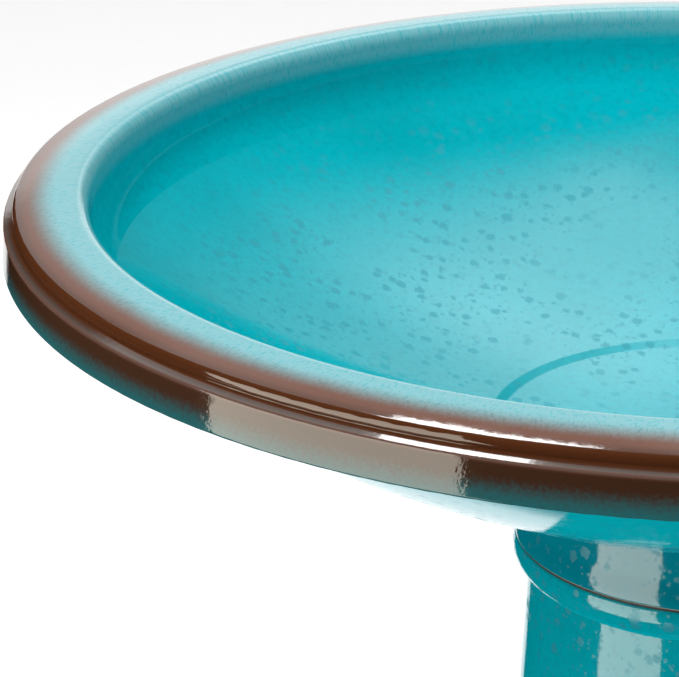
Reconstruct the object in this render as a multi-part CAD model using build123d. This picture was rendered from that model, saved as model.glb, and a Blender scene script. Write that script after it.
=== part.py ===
from build123d import *
import math
import os

# A glazed stoneware bird bath in millimetres: a shallow round bowl that rests on a hollow pedestal.
# +Z is up and the origin is on the ground, under the middle of the base.

# Overall size
TOTAL_HEIGHT = 520.0
BOWL_RADIUS = 216.0
BASE_RADIUS = 122.0

# Rim of the bowl: a crowned top, a slightly bulging band, a narrow sloping ledge and a skirt below it
CROWN_DEPTH = 6.5
CREST_RADIUS = 195.7
CROWN_ARC = 54.6
BAND_INSET = 2.7
BAND_BULGE_HEIGHT = 2.0
BAND_TOP_TUCK = 0.41
BAND_FOOT_TUCK = 0.45
BAND_EDGE = 1.5
BAND_COVE = 0.45
LEDGE_RISE = 0.6
LEDGE_FALL = 0.8
LEDGE_EDGE = 0.6
SKIRT_DROP = 12.3
SKIRT_FLARE = 0.55
SKIRT_EDGE = 1.0
SKIRT_COVE = 7.0

# Dish of the bowl: two concentric spheres, with a steep wall under the rim
DISH_CENTRE = 229.1
DISH_OUTER = 315.0
DISH_INNER = 307.0
LIP_RADIUS = 191.1
LIP_EDGE = 4.5
WALL_DRAFT = 0.9
WALL_COVE = 18.0
FLOOR_RADIUS = 70.0
FLOOR_STEP = 0.8
FLOOR_SLOPE = 3.0
FLOOR_EDGE = 2.5

# Collar: the bowl's foot ring, which sits on the pedestal
COLLAR_DROP = 105.4
COLLAR_RADIUS = 63.5
COLLAR_WAIST = 62.2
COLLAR_BORE = 53.0
COLLAR_FLARE = 8.0
COLLAR_EDGE = 0.8
COLLAR_ROOT = 4.0

# Seat: a thin gasket, and a lip that rises inside the collar
GASKET_THICKNESS = 0.7
GASKET_INNER = 54.2
GASKET_OUTER = 62.7
LIP_HEIGHT = 14.0
LIP_OUTER = 52.4
LIP_INNER = 44.0
LIP_ROUND = 2.0

# Pedestal: top bead, tapered shaft, lower bead and flared base
BEAD_TOP_RADIUS = 63.2
BEAD_RADIUS = 63.9
BEAD_FOOT_RADIUS = 59.6
BEAD_HEIGHT = 10.5
BEAD_NECK = 0.3
SHAFT_TOP_RADIUS = 58.9
SHAFT_TAPER = 0.0529
WALL = 9.0
LOWER_BEAD_TOP = 96.0
LOWER_BEAD_BOTTOM = 84.0
LOWER_BEAD_BULGE = 4.6
LOWER_BEAD_COVE = 1.5
FLARE_ARC = 50.0
FLARE_ANGLE = 66.0
FLARE_FOOT = 6.0
PLINTH_TOP = 24.0
PLINTH_LEDGE = 2.2
PLINTH_CROWN = 4.0
PLINTH_ROUND = 2.0
PLINTH_ARRIS = 0.8
PLINTH_EDGE = 3.0
FOOT_INNER = 98.0
FOOT_DRAFT = 1.0

# Foot pads
PAD_RADIUS = 11.0
PAD_PROUD = 2.0
PAD_RECESS = 2.0
PAD_CLEARANCE = 0.25
PAD_CIRCLE = 107.5
PAD_EDGE = 0.8
PAD_PLACES = {"foot_pad_front": -90, "foot_pad_right": 0, "foot_pad_back": 90, "foot_pad_left": 180}

# Heights worked out from the sizes above
LEDGE_HEIGHT = TOTAL_HEIGHT - CROWN_DEPTH
COLLAR_BOTTOM = LEDGE_HEIGHT - COLLAR_DROP
SEAT_HEIGHT = COLLAR_BOTTOM - GASKET_THICKNESS
BAND_RADIUS = BOWL_RADIUS - BAND_INSET


def point(radius, height):
    """A point of a turned outline, at this radius from the axis and this height."""
    return (radius, 0, height)


def dish_height(radius, sphere):
    """Height of a dish sphere at this radius."""
    return LEDGE_HEIGHT + DISH_CENTRE - math.sqrt(sphere**2 - radius**2)


def dish_arc(start, end, sphere):
    """Part of a dish sphere's outline, between two radii."""
    stops = [start, (start + end) / 2, end]
    return ThreePointArc(*[point(radius, dish_height(radius, sphere)) for radius in stops])


def straight_run(*places):
    """Straight edges through these (radius, height) places."""
    return [Line(point(*a), point(*b)) for a, b in zip(places, places[1:])]


def rounded(face, corners):
    """The face with its corner nearest to each (radius, height) place rounded by that place's arc."""
    for radius, height, arc in corners:
        corner = face.vertices().sort_by_distance(point(radius, height))[0]
        face = face.fillet_2d(arc, [corner])
    return face


def turned(edges, corners):
    """A solid of revolution from an outline's edges, with its corners rounded."""
    face = rounded(make_face(edges).face(), corners)
    return revolve(face, Axis.Z)


def bowl():
    band_top_radius = BAND_RADIUS - BAND_TOP_TUCK
    band_foot_radius = BAND_RADIUS - BAND_FOOT_TUCK
    crown_reach = band_top_radius - CREST_RADIUS
    band_top = TOTAL_HEIGHT - CROWN_ARC + math.sqrt(CROWN_ARC**2 - crown_reach**2)
    half_reach = CREST_RADIUS + crown_reach / 2
    half_drop = CROWN_ARC - math.sqrt(CROWN_ARC**2 - (crown_reach / 2) ** 2)
    skirt_bottom = LEDGE_HEIGHT - SKIRT_DROP
    skirt_radius = BOWL_RADIUS + SKIRT_FLARE
    ledge_inner = LEDGE_HEIGHT + LEDGE_RISE
    ledge_outer = LEDGE_HEIGHT - LEDGE_FALL
    dish_rim = math.sqrt(DISH_OUTER**2 - (DISH_CENTRE + SKIRT_DROP) ** 2)
    wall_foot = LIP_RADIUS - WALL_DRAFT
    floor_out = FLOOR_RADIUS + FLOOR_SLOPE / 2
    floor_in = FLOOR_RADIUS - FLOOR_SLOPE / 2
    floor_sphere = DISH_INNER + FLOOR_STEP
    flare_top = COLLAR_BOTTOM + COLLAR_FLARE

    outside = straight_run(
        (COLLAR_BORE, dish_height(COLLAR_BORE, DISH_OUTER)),
        (COLLAR_BORE, COLLAR_BOTTOM),
        (COLLAR_RADIUS, COLLAR_BOTTOM),
        (COLLAR_RADIUS, COLLAR_BOTTOM + 3 * COLLAR_EDGE),
        (COLLAR_WAIST, flare_top),
        (COLLAR_WAIST, dish_height(COLLAR_WAIST, DISH_OUTER)),
    )
    skirt = straight_run(
        (dish_rim, skirt_bottom),
        (skirt_radius, skirt_bottom),
        (BOWL_RADIUS, ledge_outer),
        (band_foot_radius, ledge_inner),
    )
    band = ThreePointArc(
        point(band_foot_radius, ledge_inner),
        point(BAND_RADIUS, LEDGE_HEIGHT + BAND_BULGE_HEIGHT),
        point(band_top_radius, band_top),
    )
    crown = ThreePointArc(
        point(band_top_radius, band_top),
        point(half_reach, TOTAL_HEIGHT - half_drop),
        point(CREST_RADIUS, TOTAL_HEIGHT),
    )
    inner_wall = straight_run(
        (CREST_RADIUS, TOTAL_HEIGHT),
        (LIP_RADIUS, TOTAL_HEIGHT),
        (wall_foot, dish_height(wall_foot, DISH_INNER)),
    )
    floor_step = straight_run(
        (floor_out, dish_height(floor_out, DISH_INNER)),
        (floor_in, dish_height(floor_in, floor_sphere)),
    )
    middle = straight_run(
        (0, dish_height(0, floor_sphere)),
        (0, dish_height(0, DISH_OUTER)),
    )
    edges = [
        dish_arc(0, COLLAR_BORE, DISH_OUTER),
        *outside,
        dish_arc(COLLAR_WAIST, dish_rim, DISH_OUTER),
        *skirt,
        band,
        crown,
        *inner_wall,
        dish_arc(wall_foot, floor_out, DISH_INNER),
        *floor_step,
        dish_arc(floor_in, 0, floor_sphere),
        *middle,
    ]
    corners = [
        (COLLAR_BORE, dish_height(COLLAR_BORE, DISH_OUTER), COLLAR_ROOT),
        (COLLAR_RADIUS, COLLAR_BOTTOM, COLLAR_EDGE),
        (COLLAR_RADIUS, COLLAR_BOTTOM + 3 * COLLAR_EDGE, COLLAR_FLARE),
        (COLLAR_WAIST, flare_top, COLLAR_FLARE),
        (COLLAR_WAIST, dish_height(COLLAR_WAIST, DISH_OUTER), COLLAR_ROOT),
        (dish_rim, skirt_bottom, SKIRT_COVE),
        (skirt_radius, skirt_bottom, SKIRT_EDGE),
        (BOWL_RADIUS, ledge_outer, LEDGE_EDGE),
        (band_foot_radius, ledge_inner, BAND_COVE),
        (band_top_radius, band_top, BAND_EDGE),
        (LIP_RADIUS, TOTAL_HEIGHT, LIP_EDGE),
        (wall_foot, dish_height(wall_foot, DISH_INNER), WALL_COVE),
        (floor_out, dish_height(floor_out, DISH_INNER), FLOOR_EDGE),
        (floor_in, dish_height(floor_in, floor_sphere), FLOOR_EDGE),
    ]
    return turned(edges, corners)


def shaft_radius(height):
    """Outer radius of the tapered shaft at this height."""
    return SHAFT_TOP_RADIUS + SHAFT_TAPER * (SEAT_HEIGHT - BEAD_HEIGHT - height)


def pedestal():
    bead_foot = SEAT_HEIGHT - BEAD_HEIGHT
    lip_top = SEAT_HEIGHT + LIP_HEIGHT
    neck = bead_foot - 2 * WALL
    lower_radius = shaft_radius(LOWER_BEAD_BOTTOM)
    lower_middle = (LOWER_BEAD_TOP + LOWER_BEAD_BOTTOM) / 2
    flare_centre = lower_radius + FLARE_ARC
    angle = math.radians(FLARE_ANGLE)
    flare_radius = flare_centre - FLARE_ARC * math.cos(angle)
    flare_height = LOWER_BEAD_BOTTOM - FLARE_ARC * math.sin(angle)
    half_radius = flare_centre - FLARE_ARC * math.cos(angle / 2)
    half_height = LOWER_BEAD_BOTTOM - FLARE_ARC * math.sin(angle / 2)
    plinth_inner = BASE_RADIUS - PLINTH_LEDGE
    crown_height = PLINTH_TOP + PLINTH_CROWN
    bottom = PAD_PROUD

    top_bead = ThreePointArc(
        point(BEAD_TOP_RADIUS, SEAT_HEIGHT),
        point(BEAD_RADIUS, SEAT_HEIGHT - BEAD_HEIGHT / 3),
        point(BEAD_FOOT_RADIUS, bead_foot),
    )
    shaft = straight_run(
        (BEAD_FOOT_RADIUS, bead_foot),
        (SHAFT_TOP_RADIUS, bead_foot),
        (shaft_radius(LOWER_BEAD_TOP), LOWER_BEAD_TOP),
    )
    lower_bead = ThreePointArc(
        point(shaft_radius(LOWER_BEAD_TOP), LOWER_BEAD_TOP),
        point(shaft_radius(lower_middle) + LOWER_BEAD_BULGE, lower_middle),
        point(lower_radius, LOWER_BEAD_BOTTOM),
    )
    flare = ThreePointArc(
        point(lower_radius, LOWER_BEAD_BOTTOM),
        point(half_radius, half_height),
        point(flare_radius, flare_height),
    )
    plinth = straight_run(
        (flare_radius, flare_height),
        (plinth_inner, crown_height),
        (plinth_inner, PLINTH_TOP),
        (BASE_RADIUS, PLINTH_TOP),
        (BASE_RADIUS, bottom + PLINTH_EDGE),
        (BASE_RADIUS - PLINTH_EDGE, bottom),
        (FOOT_INNER, bottom),
    )
    inside = straight_run(
        (FOOT_INNER, bottom),
        (FOOT_INNER - FOOT_DRAFT, PLINTH_TOP - WALL),
        (shaft_radius(lower_middle) - WALL, lower_middle),
        (SHAFT_TOP_RADIUS - WALL, neck),
        (LIP_INNER, bead_foot),
        (LIP_INNER, lip_top),
        (LIP_OUTER, lip_top),
        (LIP_OUTER, SEAT_HEIGHT),
        (BEAD_TOP_RADIUS, SEAT_HEIGHT),
    )
    corners = [
        (BEAD_FOOT_RADIUS, bead_foot, BEAD_NECK),
        (BEAD_TOP_RADIUS, SEAT_HEIGHT, COLLAR_EDGE),
        (shaft_radius(LOWER_BEAD_TOP), LOWER_BEAD_TOP, LOWER_BEAD_COVE),
        (lower_radius, LOWER_BEAD_BOTTOM, LOWER_BEAD_COVE),
        (flare_radius, flare_height, FLARE_FOOT),
        (plinth_inner, crown_height, PLINTH_ROUND),
        (plinth_inner, PLINTH_TOP, PLINTH_ARRIS),
        (BASE_RADIUS, PLINTH_TOP, PLINTH_ARRIS),
        (BASE_RADIUS, bottom + PLINTH_EDGE, PLINTH_EDGE),
        (FOOT_INNER, bottom, PLINTH_EDGE),
        (FOOT_INNER - FOOT_DRAFT, PLINTH_TOP - WALL, WALL),
        (shaft_radius(lower_middle) - WALL, lower_middle, 3 * WALL),
        (SHAFT_TOP_RADIUS - WALL, neck, WALL),
        (LIP_INNER, bead_foot, WALL),
        (LIP_INNER, lip_top, LIP_ROUND),
        (LIP_OUTER, lip_top, LIP_ROUND),
    ]
    solid = turned([top_bead, *shaft, lower_bead, flare, *plinth, *inside], corners)
    for place in PAD_PLACES.values():
        solid -= pad_blank(place, PAD_RADIUS + PAD_CLEARANCE, bottom, bottom + PAD_RECESS)
    return solid


def seat_gasket():
    blank = Cylinder(GASKET_OUTER, GASKET_THICKNESS, align=(Align.CENTER, Align.CENTER, Align.MIN))
    hole = Cylinder(GASKET_INNER, 3 * GASKET_THICKNESS)
    return Pos(0, 0, SEAT_HEIGHT) * (blank - hole)


def pad_blank(place, radius, low, high):
    """A short disc under the foot ring, at this angle round the axis."""
    disc = Cylinder(radius, high - low, align=(Align.CENTER, Align.CENTER, Align.MIN))
    return Rot(0, 0, place) * Pos(PAD_CIRCLE, 0, low) * disc


def foot_pad(place):
    pad = pad_blank(place, PAD_RADIUS, 0, PAD_PROUD + PAD_RECESS)
    lowest = pad.edges().group_by(Axis.Z)[0]
    return fillet(lowest, PAD_EDGE)


def write(name, solid):
    export_step(solid, os.path.join("parts", name + ".step"))


os.makedirs("parts", exist_ok=True)
write("bowl", bowl())
write("pedestal", pedestal())
write("seat_gasket", seat_gasket())
for name, place in PAD_PLACES.items():
    write(name, foot_pad(place))
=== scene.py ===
import math

import bpy
from mathutils import Matrix, Vector


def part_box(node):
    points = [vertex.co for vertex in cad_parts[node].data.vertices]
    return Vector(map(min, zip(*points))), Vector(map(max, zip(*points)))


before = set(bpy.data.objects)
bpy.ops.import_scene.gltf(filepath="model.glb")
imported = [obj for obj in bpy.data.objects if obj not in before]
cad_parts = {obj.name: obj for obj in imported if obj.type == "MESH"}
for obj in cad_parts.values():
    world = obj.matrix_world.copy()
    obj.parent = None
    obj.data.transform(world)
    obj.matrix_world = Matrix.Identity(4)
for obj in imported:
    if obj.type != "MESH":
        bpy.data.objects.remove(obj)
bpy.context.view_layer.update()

# Sizes of the object in metres, from the frame
BOWL_LOW, BOWL_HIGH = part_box("bowl")
PEDESTAL_LOW, PEDESTAL_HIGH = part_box("pedestal")
LEDGE = BOWL_HIGH.z - 0.0065
BOWL_RADIUS = BOWL_HIGH.x
LIP_RADIUS = BOWL_RADIUS - 0.0254
COLLAR_FOOT = BOWL_LOW.z
COLLAR_TOP = COLLAR_FOOT + 0.026
PLINTH_TOP = 0.024
BASE_RADIUS = PEDESTAL_HIGH.x

# Camera: where it stands against the bowl in metres, where it looks in degrees, and its lens in millimetres
CAMERA_BACK = 1.0609
CAMERA_ABOVE_LEDGE = 0.3461
CAMERA_TURN = 6.336
CAMERA_DIP = 20.262
CAMERA_LENS = 198.6
SENSOR_WIDTH = 36.0
CAMERA_REACH = 50


# ---------------------------------------------------------------- node helpers
class Nodes:
    """A node tree, with short calls for its arithmetic. Values are plain numbers or other nodes' outputs."""

    def __init__(self, tree):
        self.tree = tree

    def add(self, kind):
        return self.tree.nodes.new(kind)

    def feed(self, socket, value):
        if hasattr(value, "links"):
            self.tree.links.new(value, socket)
        elif isinstance(value, tuple) and len(value) == 3 and socket.type == "RGBA":
            socket.default_value = (*value, 1.0)
        else:
            socket.default_value = value

    def maths(self, operation, first, second=0.0):
        node = self.add("ShaderNodeMath")
        node.operation = operation
        self.feed(node.inputs[0], first)
        self.feed(node.inputs[1], second)
        return node.outputs[0]

    def plus(self, first, *others):
        for other in others:
            first = self.maths("ADD", first, other)
        return first

    def minus(self, first, second):
        return self.maths("SUBTRACT", first, second)

    def times(self, first, *others):
        for other in others:
            first = self.maths("MULTIPLY", first, other)
        return first

    def larger(self, first, second):
        return self.maths("MAXIMUM", first, second)

    def split(self, vector):
        node = self.add("ShaderNodeSeparateXYZ")
        self.feed(node.inputs[0], vector)
        return node.outputs

    def ramp(self, value, start, end, low=0.0, high=1.0):
        """low on the start's side, high on the end's side, and a smooth step between them."""
        node = self.add("ShaderNodeMapRange")
        node.interpolation_type = "SMOOTHSTEP"
        self.feed(node.inputs["Value"], value)
        for name, number in (("From Min", start), ("From Max", end), ("To Min", low), ("To Max", high)):
            node.inputs[name].default_value = number
        return node.outputs[0]

    def mix(self, amount, without, full):
        node = self.add("ShaderNodeMix")
        node.data_type = "RGBA"
        self.feed(node.inputs[0], amount)
        self.feed(node.inputs[6], without)
        self.feed(node.inputs[7], full)
        return node.outputs[2]


class Surface(Nodes):
    """A material's nodes: patterns in the object's own coordinates, and the shader that they feed."""

    def __init__(self, name):
        self.material = bpy.data.materials.new(name)
        self.material.use_nodes = True
        super().__init__(self.material.node_tree)
        self.tree.nodes.clear()
        self.shader = self.add("ShaderNodeBsdfPrincipled")
        out = self.add("ShaderNodeOutputMaterial")
        self.feed(out.inputs[0], self.shader.outputs[0])
        self.place = self.add("ShaderNodeTexCoord").outputs["Object"]
        self.x, self.y, self.height = self.split(self.place)
        self.radius = self.maths("SQRT", self.plus(self.times(self.x, self.x), self.times(self.y, self.y)))
        self.off_axis = self.larger(self.radius, 0.001)

    def wear(self, values):
        """Feed the shader's inputs by their names."""
        for name, value in values.items():
            self.feed(self.shader.inputs[name], value)

    def turned_place(self, radius, stretch):
        """Coordinates that run round the axis at this radius, with radial lengths shrunk by stretch."""
        across = self.maths("DIVIDE", radius, self.off_axis)
        join = self.add("ShaderNodeCombineXYZ")
        self.feed(join.inputs[0], self.times(self.x, across))
        self.feed(join.inputs[1], self.times(self.y, across))
        self.feed(join.inputs[2], self.times(self.minus(self.radius, self.height), stretch))
        return join.outputs[0]

    def moved(self, place, seed):
        """Coordinates moved by an amount that the seed gives, so that no two patterns run together."""
        mapping = self.add("ShaderNodeMapping")
        self.feed(mapping.inputs["Vector"], place)
        mapping.inputs["Location"].default_value = (seed, 0.37 * seed, 0.71 * seed)
        return mapping.outputs[0]

    def noise(self, scale, detail=2.0, rough=0.5, seed=0.0, place=None):
        """A cloudy pattern from 0 to 1, with about this many waves to the metre."""
        node = self.add("ShaderNodeTexNoise")
        self.feed(node.inputs["Vector"], self.moved(place or self.place, seed))
        for name, number in (("Scale", scale), ("Detail", detail), ("Roughness", rough)):
            node.inputs[name].default_value = number
        return node.outputs[0]

    def swing(self, pattern, reach):
        """A pattern from 0 to 1, as a shift of up to half of reach either way."""
        return self.times(self.minus(pattern, 0.5), reach)

    def spots(self, scale, widest, soft, seed=0.0):
        """Soft round spots of mixed sizes with slightly ragged outlines.

        scale is in cells to the metre. The widest radius and the soft edge are in cells.
        """
        cells = self.add("ShaderNodeTexVoronoi")
        self.feed(cells.inputs["Vector"], self.moved(self.place, seed))
        cells.inputs["Scale"].default_value = scale
        shrink = self.times(self.split(cells.outputs["Color"])[0], 0.6 * widest)
        ragged = self.swing(self.noise(scale=4.5 * scale, seed=seed), 0.45)
        return self.ramp(self.plus(cells.outputs["Distance"], shrink, ragged), widest, widest - soft)

    def bump(self, height, strength, distance, before=None):
        node = self.add("ShaderNodeBump")
        node.inputs["Strength"].default_value = strength
        node.inputs["Distance"].default_value = distance
        self.feed(node.inputs["Height"], height)
        if before is not None:
            self.feed(node.inputs["Normal"], before)
        return node.outputs[0]


# ---------------------------------------------------------------- glaze and clay
TEAL_DEEP = (0.0, 0.25, 0.30)
TEAL = (0.0, 0.43, 0.50)
TEAL_LIGHT = (0.0, 0.48, 0.56)
# Deeper teal for the collar: painted shade under the bowl, as well as glaze pooled a little deeper there
TEAL_POOLED_AND_SHADED = (0.0, 0.23, 0.30)
TEAL_SMOKY = (0.02, 0.14, 0.15)
TURQUOISE_PALE = (0.21, 0.53, 0.58)
FLECK = (0.0, 0.36, 0.44)
BROWN_DARK = (0.050, 0.021, 0.011)
CHESTNUT = (0.085, 0.026, 0.009)
CHESTNUT_LIGHT = (0.160, 0.057, 0.031)
CLAY = (0.52, 0.40, 0.28)
CLAY_DARK = (0.40, 0.29, 0.19)

GLAZE_IOR = 1.52
GLAZE_ROUGHNESS = (0.05, 0.085)
FLECK_DULLNESS = 0.28
CLAY_DULLNESS = 0.70
WAVE_HEIGHT = 0.0005
PEEL_HEIGHT = 0.00004

# Where the glaze changes, in metres: each pair is where a change starts and where it is complete
FLECKS_THIN_OUT = (0.145, 0.180)
ABOVE_LEDGE = (LEDGE - 0.004, LEDGE + 0.0005)
OVER_LIP = (LIP_RADIUS - 0.0022, LIP_RADIUS + 0.001)
RIM_TO_BROWN = (BOWL_RADIUS - 0.0175, BOWL_RADIUS - 0.0080)
BROWN_DEEPENS = (BOWL_RADIUS - 0.0075, BOWL_RADIUS - 0.0043)
BELOW_LEDGE = (LEDGE - 0.0008, LEDGE - 0.0016)
SKIRT_OUTSIDE = (BOWL_RADIUS - 0.0075, BOWL_RADIUS - 0.0045)
SKIRT_TO_TEAL = (LEDGE - 0.0045, LEDGE - 0.0125)
# Where the painted highlight of lighter chestnut lies along the ledge's rounded top edge
LEDGE_HIGHLIGHT_OUTSIDE = (BOWL_RADIUS - 0.0016, BOWL_RADIUS - 0.0007)
LEDGE_HIGHLIGHT_ABOVE = (LEDGE - 0.0022, LEDGE - 0.0009)
# Where the collar is painted darker: painted shade under the bowl, with the glaze also pooling deeper there
COLLAR_BELOW = (COLLAR_TOP + 0.004, COLLAR_TOP - 0.004)
COLLAR_INSIDE = (0.075, 0.066)
PLINTH_OUTSIDE = (BASE_RADIUS - 0.006, BASE_RADIUS - 0.0035)
PLINTH_TO_BROWN = (PLINTH_TOP - 0.012, PLINTH_TOP - 0.004)
PLINTH_TO_CHESTNUT = (PLINTH_TOP - 0.004, PLINTH_TOP)

# Where the clay is bare: the hollow inside the collar, whose ceiling rises outwards as a parabola, the foot
# of the collar, the inside of the seat lip and the foot of the pedestal
HOLLOW_INSIDE = (0.0606, 0.0600)
HOLLOW_RISE = 1.61
HOLLOW_BELOW = (COLLAR_FOOT + 0.0234, COLLAR_FOOT + 0.0224)
COLLAR_FOOT_BELOW = (COLLAR_FOOT + 0.0006, COLLAR_FOOT + 0.0003)
SEAT_LIP_ABOVE = (PEDESTAL_HIGH.z - 0.0137, PEDESTAL_HIGH.z - 0.0132)
SEAT_LIP_INSIDE = (0.0535, 0.0530)
PEDESTAL_FOOT_BELOW = (PEDESTAL_LOW.z + 0.0006, PEDESTAL_LOW.z + 0.0002)


def flecked_teal(nodes, share=1.0):
    """The turquoise glaze with its flecks: colour, and where the flecks are. share thins the flecks out."""
    clouds = nodes.ramp(nodes.noise(scale=13), 0.35, 0.68)
    mottle = nodes.ramp(nodes.noise(scale=420, detail=3.0, rough=0.6, seed=3.1), 0.42, 0.74, 0.0, 0.25)
    base = nodes.mix(mottle, nodes.mix(clouds, TEAL, TEAL_LIGHT), TEAL_DEEP)
    drifts = nodes.ramp(nodes.noise(scale=22, seed=7.7), 0.32, 0.54, 0.45, 1.0)
    blobs = nodes.spots(scale=200, widest=0.46, soft=0.14, seed=1.3)
    specks = nodes.times(nodes.spots(scale=460, widest=0.42, soft=0.18, seed=9.2), 0.8)
    flecks = nodes.times(nodes.larger(blobs, specks), drifts, share)
    return nodes.mix(flecks, base, FLECK), flecks


def rim_top(nodes, teal):
    """Pale turquoise with radial flecks at the lip, blending evenly into chestnut at the edge.

    The answer is the colour, where the flecks are, where the rim is and where it is brown.
    """
    round_rim = nodes.turned_place(LIP_RADIUS, 0.35)
    grain = nodes.noise(scale=1500, detail=2.5, rough=0.6, seed=6.1, place=round_rim)
    flecks = nodes.ramp(grain, 0.50, 0.66)
    above = nodes.ramp(nodes.height, *ABOVE_LEDGE)
    on_rim = nodes.times(nodes.ramp(nodes.radius, *OVER_LIP), above)
    colour = nodes.mix(on_rim, teal, nodes.mix(nodes.times(flecks, 0.55), TURQUOISE_PALE, TEAL))

    # The brown starts at an uneven radius, and a little further in on the +X side, as if dipped askew
    wander = nodes.plus(nodes.times(grain, 0.0022), nodes.times(nodes.noise(scale=35, seed=8.3), 0.0020))
    askew = nodes.times(nodes.maths("DIVIDE", nodes.x, nodes.off_axis), 0.0009)
    uneven_radius = nodes.plus(nodes.radius, askew, nodes.minus(wander, 0.0021))
    is_brown = nodes.times(nodes.ramp(uneven_radius, *RIM_TO_BROWN), above)
    brown = nodes.mix(nodes.ramp(nodes.radius, *BROWN_DEEPENS), CHESTNUT_LIGHT, CHESTNUT)
    return nodes.mix(is_brown, colour, brown), flecks, on_rim, is_brown


def skirt(nodes, colour):
    """Dark brown that melts into smoky teal at its foot, with a painted highlight of lighter chestnut along
    its top edge.

    The answer is the colour, and where the skirt is.
    """
    grain = nodes.noise(scale=900, detail=3.0, rough=0.6, seed=5.2)
    uneven_height = nodes.plus(nodes.height, nodes.swing(grain, 0.005))
    melted = nodes.mix(nodes.ramp(uneven_height, *SKIRT_TO_TEAL), BROWN_DARK, TEAL_SMOKY)
    on_skirt = nodes.times(nodes.ramp(nodes.height, *BELOW_LEDGE), nodes.ramp(nodes.radius, *SKIRT_OUTSIDE))
    # A painted highlight: lighter chestnut along the ledge's rounded top edge
    ledge_highlight = nodes.times(nodes.ramp(nodes.radius, *LEDGE_HIGHLIGHT_OUTSIDE), nodes.ramp(nodes.height, *LEDGE_HIGHLIGHT_ABOVE), 0.7)
    return nodes.mix(ledge_highlight, nodes.mix(on_skirt, colour, melted), CHESTNUT_LIGHT), on_skirt


def collar(nodes, colour):
    """Painted shade under the bowl: the collar is painted a deeper teal, which also stands for glaze pooling
    a little deeper there.
    """
    on_collar = nodes.times(nodes.ramp(nodes.height, *COLLAR_BELOW), nodes.ramp(nodes.radius, *COLLAR_INSIDE))
    # Mixes in the painted shade under the bowl
    return nodes.mix(nodes.times(on_collar, 0.85), colour, TEAL_POOLED_AND_SHADED)


def unglazed(nodes, bare, colour):
    """The colour, with clay where it is bare."""
    grog = nodes.ramp(nodes.noise(scale=500, detail=3.0, rough=0.6, seed=12.0), 0.3, 0.7)
    return nodes.mix(bare, colour, nodes.mix(grog, CLAY, CLAY_DARK))


def finish_glaze(nodes, colour, dull, bare, crinkle=0.0):
    """Gloss with a slightly uneven melt: broad waves, fine orange peel, duller flecks and matt bare clay."""
    normal = nodes.bump(nodes.noise(scale=34, detail=1.5, seed=4.4), 0.16, WAVE_HEIGHT)
    normal = nodes.bump(nodes.noise(scale=430, seed=2.6), 0.35, PEEL_HEIGHT, normal)
    wrinkles = nodes.times(nodes.noise(scale=330, detail=2.5, rough=0.55, seed=3.9), crinkle)
    normal = nodes.bump(wrinkles, 1.0, PEEL_HEIGHT, normal)
    melt = nodes.ramp(nodes.noise(scale=300, seed=5.5), 0.3, 0.8, *GLAZE_ROUGHNESS)
    rough = nodes.plus(melt, nodes.times(dull, FLECK_DULLNESS), nodes.times(bare, CLAY_DULLNESS))
    nodes.wear({"Base Color": unglazed(nodes, bare, colour), "Roughness": rough, "Normal": normal})
    nodes.wear({"IOR": GLAZE_IOR})


def bowl_glaze():
    nodes = Surface("bowl_glaze_fired")
    teal, teal_flecks = flecked_teal(nodes, nodes.ramp(nodes.radius, *FLECKS_THIN_OUT, 1.0, 0.4))
    colour, rim_flecks, on_rim, is_brown = rim_top(nodes, teal)
    colour, on_skirt = skirt(nodes, colour)
    colour = collar(nodes, colour)

    less_rise = nodes.minus(nodes.height, nodes.times(nodes.radius, nodes.radius, HOLLOW_RISE))
    hollow = nodes.times(nodes.ramp(nodes.radius, *HOLLOW_INSIDE), nodes.ramp(less_rise, *HOLLOW_BELOW))
    bare = nodes.larger(hollow, nodes.ramp(nodes.height, *COLLAR_FOOT_BELOW))

    not_brown = nodes.minus(1.0, nodes.larger(is_brown, on_skirt))
    dull = nodes.times(nodes.mix(on_rim, teal_flecks, nodes.times(rim_flecks, 0.35)), not_brown)
    finish_glaze(nodes, colour, dull, bare, crinkle=on_skirt)
    return nodes.material


def pedestal_glaze():
    nodes = Surface("pedestal_glaze_fired")
    teal, flecks = flecked_teal(nodes)
    grain = nodes.noise(scale=500, detail=3.0, rough=0.6, seed=6.1)
    uneven_height = nodes.plus(nodes.height, nodes.swing(grain, 0.012))
    edge = nodes.times(nodes.ramp(nodes.radius, *PLINTH_OUTSIDE), nodes.ramp(uneven_height, *PLINTH_TO_BROWN))
    brown = nodes.mix(nodes.ramp(nodes.height, *PLINTH_TO_CHESTNUT), BROWN_DARK, CHESTNUT)
    lip = nodes.times(nodes.ramp(nodes.height, *SEAT_LIP_ABOVE), nodes.ramp(nodes.radius, *SEAT_LIP_INSIDE))
    bare = nodes.larger(lip, nodes.ramp(nodes.height, *PEDESTAL_FOOT_BELOW))
    dull = nodes.times(flecks, nodes.minus(1.0, edge))
    finish_glaze(nodes, nodes.mix(edge, teal, brown), dull, bare)
    return nodes.material


# ---------------------------------------------------------------- rubber
RUBBER = (0.006, 0.010, 0.011)
RUBBER_DUSTY = (0.016, 0.022, 0.024)
RUBBER_ROUGHNESS = (0.6, 0.8)
RUBBER_GRAIN_HEIGHT = 0.0001


def rubber():
    nodes = Surface("moulded_rubber")
    grain = nodes.noise(scale=900, detail=3.0, rough=0.6)
    colour = nodes.mix(nodes.ramp(grain, 0.3, 0.7), RUBBER, RUBBER_DUSTY)
    rough = nodes.ramp(grain, 0.3, 0.7, *RUBBER_ROUGHNESS)
    normal = nodes.bump(grain, 0.4, RUBBER_GRAIN_HEIGHT)
    nodes.wear({"Base Color": colour, "Roughness": rough, "Normal": normal})
    return nodes.material


def dress(material, *names):
    for name in names:
        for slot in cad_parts[name].material_slots:
            slot.material = material


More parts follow.
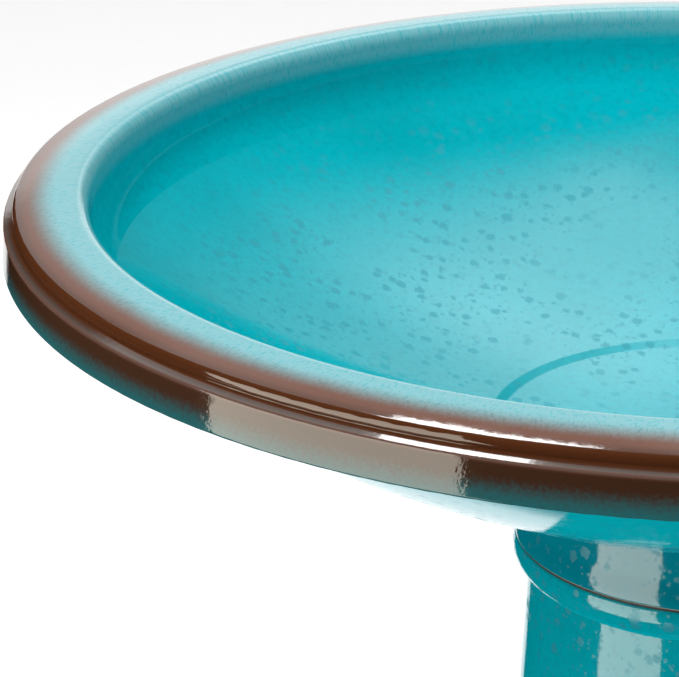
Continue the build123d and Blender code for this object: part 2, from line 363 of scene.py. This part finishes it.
dress(bowl_glaze(), "bowl")
dress(pedestal_glaze(), "pedestal")
dress(rubber(), "seat_gasket", "foot_pad_front", "foot_pad_right", "foot_pad_back", "foot_pad_left")


# ---------------------------------------------------------------- studio
# The tall softbox at the front left, whose reflection runs down the skirt, collar and shaft: the middles of
# its upright edges
SIDE_LEFT = Vector((-0.626, -0.233, 0.305))
SIDE_RIGHT = Vector((-0.309, -0.515, 0.305))
SIDE_HEIGHT = 0.51
SIDE_RADIANCE = 5.6
SIDE_FILL_RADIANCE = 2.6
SIDE_COLOUR = (1.0, 0.92, 0.78)

# The small hot light high over the back left, whose reflection runs along the rim
HOT_MIDDLE = Vector((-0.300, 0.395, 1.511))
HOT_FACING = Vector((0.369, -0.425, -0.827))
HOT_ACROSS = Vector((-0.862, 0.178, -0.476))
HOT_SIZE = (0.225, 0.43)
HOT_RADIANCE = 18.0

# The lights that only fill: azimuth and elevation in degrees, distance, size and radiance
FILLS = {
    "back_fill": (176, 55, 1.6, (1.4, 1.2), 1.3),
    "front_fill": (-10, 50, 1.8, (1.4, 1.2), 2.6),
    "top_fill": (-80, 72, 1.7, (1.2, 1.2), 2.9),
}

FLOOR_SIZE = 24
PAPER_DARK = (0.85, 0.85, 0.85)
PAPER = (0.87, 0.87, 0.87)
PAPER_GLOW = 0.55
WHITE = (1, 1, 1)


def around(azimuth, elevation, distance, middle):
    """A place this far from a middle point: azimuth 0 is towards -Y and 90 towards +X."""
    turn = math.radians(azimuth)
    rise = math.radians(elevation)
    flat = distance * math.cos(rise)
    return middle + Vector((flat * math.sin(turn), -flat * math.cos(turn), distance * math.sin(rise)))


def softbox(name, centre, target, size, radiance, shines=True, fills=True):
    """A flat light of this radiance. It may stay out of reflections, or out of the diffuse light."""
    data = bpy.data.lights.new(name, "AREA")
    data.shape = "RECTANGLE"
    data.size, data.size_y = size
    data.energy = radiance * math.pi * size[0] * size[1]
    light = bpy.data.objects.new(name, data)
    bpy.context.scene.collection.objects.link(light)
    light.location = centre
    light.rotation_euler = (target - light.location).to_track_quat("-Z", "Y").to_euler()
    light.visible_camera = False
    light.visible_glossy = shines
    light.visible_diffuse = fills
    return light


def level_with(rotation, side):
    """The same facing, turned about itself until its own X runs along side."""
    back = rotation.to_matrix().col[2].normalized()
    side = (side - back * side.dot(back)).normalized()
    return Matrix((side, back.cross(side), back)).transposed().to_euler()


def side_lights():
    """Two lights in one place, because the reflection is brighter and warmer than the light that falls."""
    centre = (SIDE_LEFT + SIDE_RIGHT) / 2
    across = SIDE_RIGHT - SIDE_LEFT
    target = centre + Vector((-across.y, across.x, 0))
    size = (across.length, SIDE_HEIGHT)
    shine = softbox("side_softbox", centre, target, size, SIDE_RADIANCE, fills=False)
    shine.data.color = SIDE_COLOUR
    softbox("side_fill", centre, target, size, SIDE_FILL_RADIANCE, shines=False)


def high_lights():
    """The hot light, which only shows in reflections, and the wide ones that only fill."""
    hot = softbox("hot_light", HOT_MIDDLE, HOT_MIDDLE + HOT_FACING, HOT_SIZE, HOT_RADIANCE, fills=False)
    hot.rotation_euler = level_with(hot.rotation_euler, HOT_ACROSS)
    bowl_middle = Vector((0, 0, LEDGE - 0.05))
    for name, (azimuth, elevation, distance, size, radiance) in FILLS.items():
        place = around(azimuth, elevation, distance, bowl_middle)
        softbox(name, place, bowl_middle, size, radiance, shines=False)


def ground():
    """A pale paper floor that glows a little, and that only the camera sees."""
    bpy.ops.mesh.primitive_plane_add(size=FLOOR_SIZE)
    floor = bpy.context.object
    floor.name = "studio_floor"
    floor.visible_glossy = False
    floor.visible_diffuse = False
    nodes = Surface("pale_floor")
    paper = nodes.ramp(nodes.noise(scale=40, detail=3.0), 0.3, 0.7)
    colour = nodes.mix(paper, PAPER_DARK, PAPER)
    nodes.wear({"Base Color": colour, "Roughness": 0.7, "Specular IOR Level": 0.0})
    nodes.wear({"Emission Color": WHITE, "Emission Strength": PAPER_GLOW})
    floor.data.materials.append(nodes.material)


class Sky(Nodes):
    """The world's nodes, which know the direction of each ray that leaves the scene."""

    def __init__(self):
        world = bpy.data.worlds.new("studio")
        bpy.context.scene.world = world
        world.cycles.sampling_method = "NONE"
        world.use_nodes = True
        super().__init__(world.node_tree)
        direction = self.add("ShaderNodeTexCoord").outputs["Generated"]
        self.x, self.y, self.z = self.split(direction)


def backdrop(nodes):
    """What reflections see: a grey wall at the back, with one softbox high on its right.

    turn is an azimuth in degrees, with 0 towards +Y and 90 towards +X. nodes.z is the sine of an elevation.
    """
    turn = nodes.times(nodes.maths("ARCTAN2", nodes.x, nodes.y), 180 / math.pi)
    high = nodes.ramp(nodes.z, 0.54, 0.60)

    # The wall's outline: its left edge steps outwards high up, and its right edge leans outwards
    low_left = nodes.ramp(turn, -25.5, -24)
    high_left = nodes.times(nodes.ramp(turn, -44, -36), high)
    left = nodes.larger(low_left, high_left)
    leaning_right = nodes.ramp(nodes.minus(turn, nodes.times(nodes.z, 46.5)), 8, -18)
    right = nodes.larger(leaning_right, nodes.ramp(turn, 9, 3))
    foot = nodes.ramp(nodes.z, -0.75, -0.65)
    top = nodes.ramp(nodes.z, 1.0, 0.93)
    dim_top = nodes.ramp(nodes.z, 1.0, 0.93, 0.3, 1.0)

    # Its light: strongest low down, with more on the right above that, and more at the top left
    low_light = nodes.ramp(nodes.z, 0.2, 0.3, 1.2, 0.7)
    right_light = nodes.times(nodes.ramp(turn, -4, 4), nodes.ramp(nodes.z, 0.2, 0.3), 0.6)
    left_light = nodes.times(high, nodes.ramp(turn, -15, -25), 0.35)
    level = nodes.plus(low_light, right_light, left_light)

    wall = nodes.times(left, right, level, foot, dim_top)
    box = nodes.times(nodes.ramp(turn, -8, 8), right, nodes.ramp(nodes.z, 0.46, 0.70), top)
    return nodes.plus(wall, nodes.times(box, 1.3))


def sky():
    """White for the camera, the backdrop for reflections, and a soft light from all round for the rest."""
    nodes = Sky()
    soft = nodes.ramp(nodes.z, -0.3, 0.3, 0.62, 0.28)
    path = nodes.add("ShaderNodeLightPath")
    light = nodes.mix(path.outputs["Is Glossy Ray"], soft, backdrop(nodes))
    light = nodes.mix(path.outputs["Is Camera Ray"], light, WHITE)
    nodes.feed(nodes.tree.nodes["Background"].inputs[0], light)


def camera():
    data = bpy.data.cameras.new("camera")
    data.lens = CAMERA_LENS
    data.sensor_width = SENSOR_WIDTH
    data.clip_end = CAMERA_REACH
    view = bpy.data.objects.new("camera", data)
    bpy.context.scene.collection.objects.link(view)
    view.location = (0, -CAMERA_BACK, LEDGE + CAMERA_ABOVE_LEDGE)
    view.rotation_euler = (math.radians(90 - CAMERA_DIP), 0, math.radians(CAMERA_TURN))
    bpy.context.scene.camera = view


side_lights()
high_lights()
ground()
sky()
camera()
bpy.context.scene.view_settings.view_transform = "Standard"
